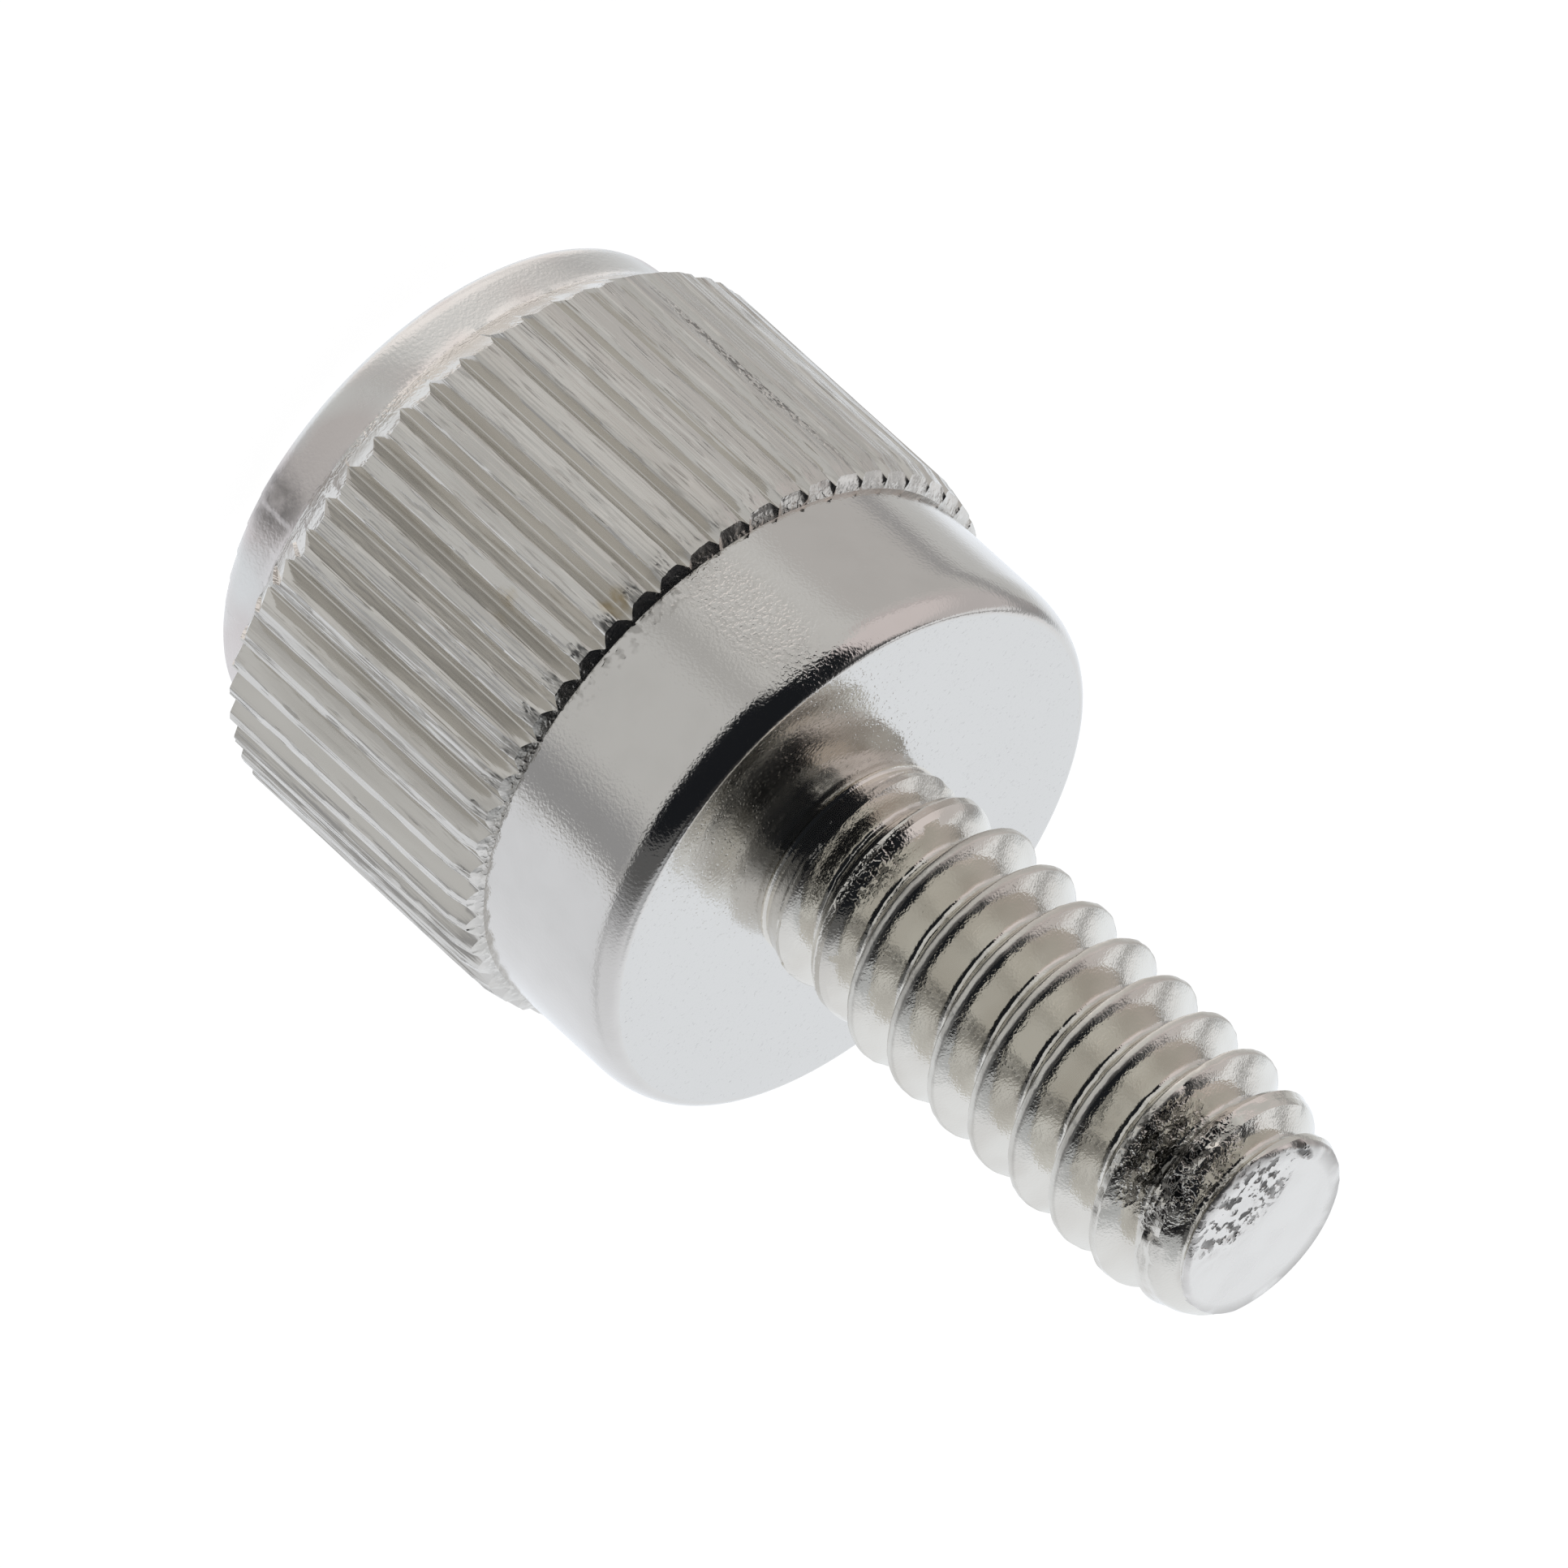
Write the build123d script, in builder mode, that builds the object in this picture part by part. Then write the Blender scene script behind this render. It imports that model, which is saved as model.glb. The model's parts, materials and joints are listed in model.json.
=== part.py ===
from build123d import *

import math
import os

# A knurled thumb screw, turned, knurled and thread-rolled from one piece of steel.
# Millimetres. +Z runs along the screw's axis, from the head to the tip of the thread.
# The origin is the centre of the head's flat end, on which the screw stands.

# Head, from its flat end up to the seating face
head_height = 8.23           # flat end to seating face
rim_diameter = 8.01          # the plain band at the flat end
rim_height = 0.88            # flat end to the start of the knurl's lead-in
rim_round = 0.35             # rounding of the flat end's edge
knurl_diameter = 8.90        # over the tooth crests
knurl_depth = 0.265          # crest to groove bottom
knurl_lead_in = 0.60         # length of the cone from the rim up to the crests
knurl_end_slope = 0.11       # how far a tooth's end leans back from its foot to its crest
tooth_count = 53             # straight teeth round the head
groove_angle = 56            # included angle of a knurl groove
collar_diameter = 8.35       # the plain band between the knurl and the seating face
collar_height = 2.40         # end of the knurl to seating face
corner_height = 0.62         # the collar's rolled-over corner, along the axis
corner_depth = 0.27          # and across the seating face

# Shank and thread, a standard right-hand coarse thread of 32 turns to the inch
shank_length = 8.05          # seating face to tip
thread_pitch = 25.4 / 32
thread_diameter = 3.50       # over the thread's crests
thread_crest = 0.10          # width of the narrow crest, along the axis
thread_root = 0.11           # width of the groove's root, along the axis
flank_angle = 30             # each flank from the plane square to the axis
groove_start = 0.50          # seating face to where the thread groove is first full
run_out_turns = 0.15         # how far round the groove climbs out of the blank before that
run_out_angle = 72           # how steeply it climbs, from the axis
neck_diameter = 2.96         # plain shank under the head
neck_height = 0.13           # height of the hollow rounding from the seating face up to it
neck_clearance = 0.01        # the rounding runs out on the seating face this far outside the crests
first_crest_diameter = 3.26  # over the first crests, which the rolls left low
first_crest_height = 0.46    # seating face to the first low crest
full_crest_height = 1.65     # seating face to the first full crest
crest_growth = 0.30          # length over which low crests grow to full ones
tip_diameter = 2.82          # the tip's flat, before the thread cuts into it
tip_taper = 1.40             # length of the taper down to the tip

clearance = 0.05             # how far a cutting shape stands clear of the metal

# Worked out from the sizes above
head_radius = knurl_diameter / 2
knurl_root_radius = head_radius - knurl_depth
knurl_top = head_height - collar_height
collar_radius = collar_diameter / 2
seat_radius = collar_radius - corner_depth
thread_start = head_height + groove_start
overall_height = head_height + shank_length
crest_radius = thread_diameter / 2
neck_radius = neck_diameter / 2
neck_flare = crest_radius + neck_clearance - neck_radius
first_crest_radius = first_crest_diameter / 2


# The blank: the turned outline of head and shank, spun round the axis
with BuildPart() as blank:
    with BuildSketch(Plane.XZ):
        with BuildLine():
            Line((seat_radius, head_height), (neck_radius + neck_flare, head_height))
            EllipticalCenterArc(
                center=(neck_radius + neck_flare, head_height + neck_height),
                x_radius=neck_flare,
                y_radius=neck_height,
                start_angle=180,
                arc_size=90,
            )
            Polyline(
                (neck_radius, head_height + neck_height),
                (first_crest_radius, head_height + first_crest_height),
                (first_crest_radius, head_height + full_crest_height - crest_growth),
                (crest_radius, head_height + full_crest_height),
                (crest_radius, overall_height - tip_taper),
                (tip_diameter / 2, overall_height),
                (0, overall_height),
                (0, 0),
                (rim_diameter / 2, 0),
                (rim_diameter / 2, rim_height),
                (head_radius, rim_height + knurl_lead_in),
                (head_radius, knurl_top - knurl_end_slope),
                (knurl_root_radius, knurl_top),
                (collar_radius, knurl_top),
                (collar_radius, head_height - corner_height),
            )
            EllipticalCenterArc(
                center=(seat_radius, head_height - corner_height),
                x_radius=corner_depth,
                y_radius=corner_height,
                start_angle=0,
                arc_size=90,
            )
        make_face()
    revolve(axis=Axis.Z)
    rings = blank.edges().filter_by(GeomType.CIRCLE)
    fillet(rings.group_by(Axis.Z)[0], radius=rim_round)

# The knurl's grooves: straight V cuts along the head, from under the lead-in to the collar
knurl_reach = head_radius + clearance
knurl_half_mouth = (knurl_reach - knurl_root_radius) * math.tan(math.radians(groove_angle / 2))
with BuildPart() as knurl_grooves:
    with BuildSketch(Plane.XY.offset(rim_height)):
        with PolarLocations(0, tooth_count):
            Polygon(
                (knurl_root_radius, 0),
                (knurl_reach, knurl_half_mouth),
                (knurl_reach, -knurl_half_mouth),
                align=None,
            )
    extrude(amount=knurl_top - rim_height)

# One turn of the thread's groove: a V with a narrow flat root, carried up a right-hand helix
flank_slope = math.tan(math.radians(flank_angle))
thread_half_mouth = (thread_pitch - thread_crest) / 2
thread_depth = (thread_half_mouth - thread_root / 2) / flank_slope
groove_section = [
    (-thread_depth, -thread_root / 2),
    (-thread_depth, thread_root / 2),
    (clearance, thread_half_mouth + clearance * flank_slope),
    (clearance, -thread_half_mouth - clearance * flank_slope),
]
with BuildPart() as groove_turn:
    with BuildLine():
        Helix(pitch=thread_pitch, height=thread_pitch, radius=crest_radius)
    with BuildSketch(Plane.XZ):
        with Locations((crest_radius, 0)):
            Polygon(*groove_section, align=None)
    sweep(is_frenet=True)

# The groove's run-out: from its first full section down and out of the neck, on a widening helix
with BuildPart() as groove_run_out:
    with BuildLine():
        Helix(
            pitch=thread_pitch,
            height=thread_pitch * run_out_turns,
            radius=crest_radius,
            direction=(0, 0, -1),
            cone_angle=run_out_angle,
        )
    with BuildSketch(Plane.XZ):
        with Locations((-crest_radius, 0)):
            Polygon(*[(-x, z) for x, z in groove_section], align=None)
    sweep(is_frenet=True)

# The screw: the blank with every groove cut, the thread's turn by turn until past the tip
thread_turns = math.ceil((overall_height - thread_start + thread_half_mouth) / thread_pitch)
half_turn = (0, 0, 180)
turn_heights = [thread_start + turn * thread_pitch for turn in range(thread_turns)]
with BuildPart() as thumb_screw:
    add(blank.part)
    add(knurl_grooves.part, mode=Mode.SUBTRACT)
    with Locations(*[Location((0, 0, height), half_turn) for height in turn_heights]):
        add(groove_turn.part, mode=Mode.SUBTRACT)
    with Locations((0, 0, thread_start)):
        add(groove_run_out.part, mode=Mode.SUBTRACT)

os.makedirs("parts", exist_ok=True)
thumb_screw.part.label = "thumb_screw"
export_step(thumb_screw.part, "parts/thumb_screw.step")
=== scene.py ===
"""Knurled thumb screw of bright nickel-plated steel: its mesh, finishes, studio and camera."""

import json
import logging
import math
from dataclasses import dataclass, field
from enum import Enum

import bmesh
import bpy
from mathutils import Matrix, Vector, noise


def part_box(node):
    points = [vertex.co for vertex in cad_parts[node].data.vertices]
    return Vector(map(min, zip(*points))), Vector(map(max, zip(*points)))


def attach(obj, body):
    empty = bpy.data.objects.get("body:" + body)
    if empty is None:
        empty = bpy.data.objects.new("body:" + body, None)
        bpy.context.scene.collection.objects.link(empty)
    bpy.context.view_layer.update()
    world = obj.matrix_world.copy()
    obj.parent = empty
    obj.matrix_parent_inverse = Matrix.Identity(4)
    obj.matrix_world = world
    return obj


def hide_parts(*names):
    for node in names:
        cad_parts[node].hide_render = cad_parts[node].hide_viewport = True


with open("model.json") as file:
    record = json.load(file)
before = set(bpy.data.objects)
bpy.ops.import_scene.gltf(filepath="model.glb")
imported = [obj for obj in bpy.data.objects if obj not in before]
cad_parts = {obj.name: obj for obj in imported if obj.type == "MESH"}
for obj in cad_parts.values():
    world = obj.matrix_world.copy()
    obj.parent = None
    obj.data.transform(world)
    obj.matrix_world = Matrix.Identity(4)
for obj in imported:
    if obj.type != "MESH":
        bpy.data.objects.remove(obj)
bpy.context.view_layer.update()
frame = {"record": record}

logging.basicConfig(level=logging.INFO, format="%(levelname)s %(message)s")
LOG = logging.getLogger("thumb_screw")

MM = 0.001  # the frame is in metres, and the sizes below are in millimetres
FULL_TURN = 2 * math.pi
CIRCLE = 360.0  # degrees
UPRIGHT = 90.0  # degrees from level to straight up
SLACK = 1e-4  # two places nearer than this are one
TURN_SLACK = 1e-3  # and this joins one turn of the thread to the next
CUT_SLACK = 1e-5  # a point this near a cut lies on it
SPARE_TURNS = 2  # turns of the thread that reach past its cut ends
NODE = "thumb_screw"
PIECE = "knurled_thumb_screw"
BODY = "root"
WHITE = "FFFFFF"
FLAT = (1.0, 1.0, 0.0)  # times a place, this leaves out its height
PATCH_EDGE = 0.55  # a round patch of marks is whole within this share of its reach
MIX_BELOW, MIX_ABOVE = 6, 7  # the Mix node's two colours, whose names its other kinds share

Point = tuple[float, float]  # radius and height
Span = tuple[float, float]  # where something starts, and where it is full
Place = tuple[float, float, float]
Light = tuple[float, float, float]


class Finish(Enum):
    """The finishes of the one piece, in the order of its material slots."""

    TURNED = 0
    FACED = 1
    TUMBLED = 2
    KNURLED = 3
    ROLLED = 4
    SHEARED = 5


def mount(name: str) -> dict:
    """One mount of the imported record.

    Args:
        name: The mount's name.

    Returns:
        The mount's entry.
    """
    return next(m for m in frame["record"]["mounts"] if m["name"] == name)


def smooth_step(value: float, low: float, high: float) -> float:
    """A soft step.

    Args:
        value: Where to read it.
        low: Where it leaves 0.
        high: Where it reaches 1, which may be below low.

    Returns:
        From 0 to 1.
    """
    share = min(1.0, max(0.0, (value - low) / (high - low)))
    return share * share * (3 - 2 * share)


def grain(x: float, y: float, z: float) -> float:
    """Smooth noise.

    Args:
        x: First coordinate, in grains.
        y: Second coordinate, in grains.
        z: Third coordinate, in grains.

    Returns:
        About -1 to 1, the same on every run.
    """
    return noise.noise(Vector((x, y, z)))


def arc(centre: Point, reach: Point, start: float, end: float, steps: int) -> list[Point]:
    """Points of an elliptical arc, without its first end.

    Args:
        centre: The middle.
        reach: The half axes.
        start: The first angle, in degrees.
        end: The last angle, in degrees.
        steps: How many points.

    Returns:
        The points.
    """
    turns = [math.radians(start + (end - start) * i / steps) for i in range(1, steps + 1)]
    return [(centre[0] + reach[0] * math.cos(a), centre[1] + reach[1] * math.sin(a)) for a in turns]


def run(start: Point, end: Point, steps: int) -> list[Point]:
    """Evenly spaced points of a straight run, without its first end.

    Args:
        start: The first end.
        end: The last end.
        steps: How many points.

    Returns:
        The points.
    """
    shares = [i / steps for i in range(1, steps + 1)]
    return [(start[0] + (end[0] - start[0]) * s, start[1] + (end[1] - start[1]) * s) for s in shares]


def chain(bm: bmesh.types.BMesh, outline: list[Point]) -> list[bmesh.types.BMVert | bmesh.types.BMEdge]:
    """A chain of edges in the XZ plane, ready to be spun.

    Args:
        bm: The mesh that it is added to.
        outline: Its points.

    Returns:
        Its vertices and edges.
    """
    verts = [bm.verts.new((radius, 0, height)) for radius, height in outline]
    edges = [bm.edges.new(pair) for pair in zip(verts, verts[1:])]
    return [*verts, *edges]


def lathe(bm: bmesh.types.BMesh, geom: list, angle: float, steps: int, rise: float = 0.0,
          copies: bool = False) -> None:
    """Spins part of a mesh round the screw's axis.

    Args:
        bm: The mesh.
        geom: The part's vertices, edges and faces.
        angle: How far round, in radians.
        steps: In how many steps.
        rise: How far each step climbs.
        copies: Whether it leaves a copy at each step, and not a surface swept by its edges.
    """
    bmesh.ops.spin(bm, geom=geom, cent=(0, 0, 0), axis=(0, 0, 1), dvec=(0, 0, rise), angle=angle,
                   steps=steps, use_merge=False, use_duplicate=copies)


@dataclass(frozen=True)
class ToothWear:
    """One way in which the teeth of the knurl are uneven, each in its own way."""

    depth: float  # about the most that it adds or takes away
    layer: float  # where it reads the noise, so that no two ways agree
    rate: float = 1.0  # how fast it changes with the place that it is asked for
    tooth_step: float = 7.3  # how far apart neighbouring teeth read the noise
    side_step: float = 3.1  # and the two sides of a tooth

    def at(self, tooth: int, side: float, place: float, shift: float = 0.0, lift: float = 0.0) -> float:
        """How much it adds.

        Args:
            tooth: The tooth's number.
            side: 1 or -1, for its two sides.
            place: How far along the tooth, or another measure that it changes with.
            shift: A further step through the noise, as between the columns of one side.
            lift: A further step to another layer.

        Returns:
            About minus its depth to its depth.
        """
        seed = tooth * self.tooth_step + side * self.side_step + shift
        return self.depth * grain(seed, place * self.rate, self.layer + lift)


@dataclass(frozen=True)
class Grain:
    """Unevenness of one grain size that the rolls, the shears or use leave, in millimetres."""

    depth: float  # about the most that it adds or takes away
    across: float  # from one grain to the next, square to the axis
    along: float = 1.0  # and along it
    layer: float = 0.0  # where it reads the noise, so that no two kinds agree

    def at(self, x: float, y: float, z: float = 0.0) -> float:
        """How much it adds at a place, about minus its depth to its depth."""
        return self.depth * grain(x / self.across, y / self.across, z / self.along + self.layer)


@dataclass
class Head:
    """The head: a plain rim, a straight knurl, a plain collar and the seating face, in millimetres."""

    height: float
    knurl_radius: float
    neck_radius: float
    neck_round: float
    rim_radius: float = 4.005
    rim_height: float = 0.88
    rim_round: float = 0.35
    rim_draft: float = 0.03  # how far the rim tapers in towards its rounding
    rim_dent: float = 0.10  # how much smaller it is over +X
    end_rings: tuple[float, ...] = (0.0, 0.35, 0.7)  # across the flat end, as shares of its radius
    teeth: int = 53
    groove_depth: float = 0.205
    light_depth: float = 0.135  # where the rolls pressed lightly
    lead_in: float = 0.60
    short_lead_in: float = 0.16  # over +X
    lead_in_mean: float = 0.94  # its usual length, as a share
    lead_in_swell: float = 0.5  # how much fuller it is over +X
    knurl_slope: float = 0.10  # how far a tooth's end leans back from its foot to its crest
    slope_foot: float = 0.18  # the share of that at the bottom of a groove
    slope_curve: float = 0.6  # the power of the rise by which it grows to the crest
    collar_radius: float = 4.175
    collar_height: float = 2.40
    corner_height: float = 0.62
    corner_depth: float = 0.27
    # Half a tooth's section, from the middle of its groove to the middle of its crest: how far
    # across, in millimetres, and how high, as a share of the groove's depth
    across: tuple[float, ...] = (0.0, 0.017, 0.060, 0.104, 0.146, 0.168, 0.215, 0.264)
    rise: tuple[float, ...] = (0.0, 0.03, 0.33, 0.64, 0.93, 1.0, 1.0, 0.99)
    # The same on the side over +X, where the rolls pressed harder, and on the side away from it
    across_pressed: tuple[float, ...] = (0.0, 0.028, 0.085, 0.143, 0.200, 0.222, 0.245, 0.264)
    across_light: tuple[float, ...] = (0.0, 0.012, 0.040, 0.068, 0.095, 0.118, 0.190, 0.264)
    # The cosines of the angle from +X, and from the side away from it, between which each grows
    hard_span: Span = (0.35, 0.85)
    light_span: Span = (0.0, 0.55)
    far_flank: float = 0.4  # how much of the hard pressing shows on a groove's second flank
    # Wear and unevenness, in millimetres unless told otherwise
    crest_from: float = 0.6  # the share of the rise over which metal counts as crest
    torn: ToothWear = ToothWear(0.012, 1.7, 2.0)
    torn_fine: ToothWear = ToothWear(0.010, 4.1, 6.5)
    torn_fall: float = 0.6  # how much less the middle of a crest is torn, as a share
    lean: ToothWear = ToothWear(0.011, 2.3, 0.45, tooth_step=5.1, side_step=0.0)
    crest_wear: float = 0.004  # off every crest
    dent: ToothWear = ToothWear(0.030, 5.2, 1.4)
    dent_least: float = 0.0036  # shallower dents are left out
    dent_step: float = 0.9  # from one column of a tooth to the next
    ragged_end: ToothWear = ToothWear(0.35, 9.1, 0.7, tooth_step=3.7, side_step=0.0)  # a share
    ragged_start: ToothWear = ToothWear(0.10, 6.6, tooth_step=2.9, side_step=0.0)  # a share
    end_bulge: ToothWear = ToothWear(0.01, 0.0, 0.8)
    end_layers: float = 3.0  # how far the bulge moves through the noise from crest to collar
    worn_end: float = 0.06  # off a crest's end
    worn_length: float = 0.30
    lip: Grain = Grain(0.03, 1 / 2.2, layer=3.3)  # metal that the rolls push out over the rim
    lip_mean: float = 0.012

    @property
    def half_tooth(self) -> int:
        """How many columns of points lie from the middle of a groove to that of a crest."""
        return len(self.across) - 1

    @property
    def columns(self) -> int:
        """How many steps the lathe takes round the head."""
        return self.teeth * 2 * self.half_tooth

    @property
    def knurl_top(self) -> float:
        """Where the teeth end, at the collar."""
        return self.height - self.collar_height

    @property
    def cone_end(self) -> float:
        """Where the lead-in reaches the crests."""
        return self.rim_height + self.lead_in

    @property
    def slope_start(self) -> float:
        """Where the teeth begin to fall to the collar."""
        return self.knurl_top - self.knurl_slope

    def outline(self) -> list[Point]:
        """The head's section, from the middle of its flat end to the top of the neck's rounding.

        Returns:
            Its points.
        """
        foot = self.rim_radius - self.rim_draft
        seat = self.collar_radius - self.corner_depth
        corner_start = self.height - self.corner_height
        neck_edge = self.neck_radius + self.neck_round
        flat = foot - self.rim_round
        points = [(foot * share, 0.0) for share in self.end_rings] + [(flat, 0.0)]
        points += arc((flat, self.rim_round), (self.rim_round,) * 2, start=-90, end=0, steps=6)
        points += run(points[-1], (self.rim_radius, self.rim_height), steps=5)
        points += run(points[-1], (self.knurl_radius, self.cone_end), steps=6)
        points += run(points[-1], (self.knurl_radius, self.slope_start), steps=30)
        points += run(points[-1], (self.collar_radius, self.knurl_top), steps=4)
        points += run(points[-1], (self.collar_radius, corner_start), steps=5)
        points += arc((seat, corner_start), (self.corner_depth, self.corner_height), start=0, end=90,
                      steps=12)
        points += run(points[-1], (neck_edge, self.height), steps=5)
        points += arc((neck_edge, self.height + self.neck_round), (self.neck_round,) * 2, start=270,
                      end=180, steps=3)
        return points

    def tooth_phase(self, angle: float) -> tuple[int, int, float]:
        """Which lathe column an angle is on.

        Args:
            angle: Round the axis, in radians.

        Returns:
            The tooth's number, the column from the middle of its groove, negative before it,
            and that middle's angle.
        """
        whole = 2 * self.half_tooth
        column = round(angle / FULL_TURN * self.columns)
        tooth = (column + self.half_tooth - 1) // whole
        return tooth % self.teeth, column - tooth * whole, tooth * FULL_TURN / self.teeth

    def pressed(self, angle: float) -> tuple[float, float]:
        """How unevenly the rolls pressed.

        Args:
            angle: Round the axis, in radians.

        Returns:
            How far an angle is on the hard-pressed side and on the other, each from 0 to 1.
        """
        lean = math.cos(angle)
        return smooth_step(lean, *self.hard_span), smooth_step(-lean, *self.light_span)

    def column_offset(self, column: int, middle: float) -> float:
        """How far round a column of points lies from the middle of its groove.

        Args:
            column: The column from that middle, negative before it.
            middle: The middle's angle, in radians.

        Returns:
            Millimetres at the crests.
        """
        hard, light = self.pressed(middle)
        hard *= 1.0 if column < 0 else self.far_flank
        along = abs(column)
        base = self.across[along]
        base += (self.across_pressed[along] - base) * hard + (self.across_light[along] - base) * light
        return math.copysign(base, column)

    def knurl_point(self, angle: float, height: float) -> tuple[float, float, float]:
        """Where a point of the turned blank lies once the teeth are rolled.

        Each column of points keeps its rows, slid along so that they bend exactly where the lead-in
        cuts its groove or crest, and where the tooth's end falls to the collar.

        Args:
            angle: Round the axis, in radians.
            height: Along the axis.

        Returns:
            Its radius, angle and height.
        """
        tooth, column, middle = self.tooth_phase(angle)
        side, along = math.copysign(1, column), abs(column)
        across, rise = abs(self.column_offset(column, middle)), self.rise[along]
        hard, light = self.pressed(middle)
        depth = self.groove_depth + (self.light_depth - self.groove_depth) * light
        lead_in = self.lead_in + (self.short_lead_in - self.lead_in) * hard
        # The tooth's section here, with its crest torn sideways, leaning and dented
        crest = smooth_step(rise, self.crest_from, 1.0)
        torn = self.torn.at(tooth, side, height) + self.torn_fine.at(tooth, side, height)
        across += crest * (1 - self.torn_fall * along / self.half_tooth) * torn
        lean = side * crest * across / self.across[-1] * self.lean.at(tooth, side, height)
        dent = crest * max(0.0, self.dent.at(tooth, side, height, shift=along * self.dent_step)
                           - self.dent_least)
        section = self.knurl_radius - depth * (1 - rise) + min(0.0, lean - self.crest_wear) - dent
        # Where the lead-in's cone and the tooth's sloped end cut this column
        cone_share = (section - self.rim_radius) / (self.knurl_radius - self.rim_radius)
        cone_length = lead_in * (self.lead_in_mean + self.ragged_start.at(tooth, side, side))
        cone_cut = self.rim_height + cone_length * cone_share
        slope = self.knurl_slope * (1 + self.ragged_end.at(tooth, side, side))
        slope *= self.slope_foot + (1 - self.slope_foot) * rise ** self.slope_curve
        end_cut = self.knurl_top - slope
        if height < self.cone_end:
            share = (height - self.rim_height) / self.lead_in
            swell = share ** (1 - self.lead_in_swell * hard)
            radius = self.rim_radius + (section - self.rim_radius) * swell
            place = self.rim_height + (cone_cut - self.rim_height) * share
        elif height < self.slope_start + SLACK:
            share = (height - self.cone_end) / (self.slope_start - self.cone_end)
            place = cone_cut + (end_cut - cone_cut) * share
            radius = section - self.worn_end * rise * smooth_step(place, end_cut - self.worn_length, end_cut)
        else:
            share = (height - self.slope_start) / self.knurl_slope
            foot = section - self.worn_end * rise
            grown = self.end_bulge.depth + self.end_bulge.at(tooth, side, along, lift=share * self.end_layers)
            radius = foot + (self.collar_radius - foot) * share + math.sin(math.pi * share) * grown * rise
            place = end_cut + (self.knurl_top - end_cut) * share
        return radius, middle + side * across / self.knurl_radius, place

    def build(self) -> bmesh.types.BMesh:
        """The head, open at the top of the neck's rounding.

        Returns:
            The mesh.
        """
        bm = bmesh.new()
        lathe(bm, chain(bm, self.outline()), FULL_TURN / self.teeth, 2 * self.half_tooth)
        lathe(bm, [*bm.verts, *bm.edges, *bm.faces], FULL_TURN * (1 - 1 / self.teeth), self.teeth - 1,
              copies=True)
        bmesh.ops.remove_doubles(bm, verts=bm.verts, dist=SLACK)
        for vert in bm.verts:
            x, y, z = vert.co
            radius, angle = math.hypot(x, y), math.atan2(y, x)
            if radius < SLACK:
                continue
            if self.rim_height + SLACK < z < self.knurl_top - SLACK:
                radius, angle, z = self.knurl_point(angle, z)
            else:
                _, column, middle = self.tooth_phase(angle)
                angle = middle + self.column_offset(column, middle) / self.knurl_radius
                if abs(z - self.rim_height) < SLACK:
                    radius += max(0.0, self.lip_mean + self.lip.at(x, y))
                elif z < self.rim_height:
                    radius *= 1 - self.rim_dent / self.rim_radius * self.pressed(middle)[0]
            vert.co = (radius * math.cos(angle), radius * math.sin(angle), z)
        return bm


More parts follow.
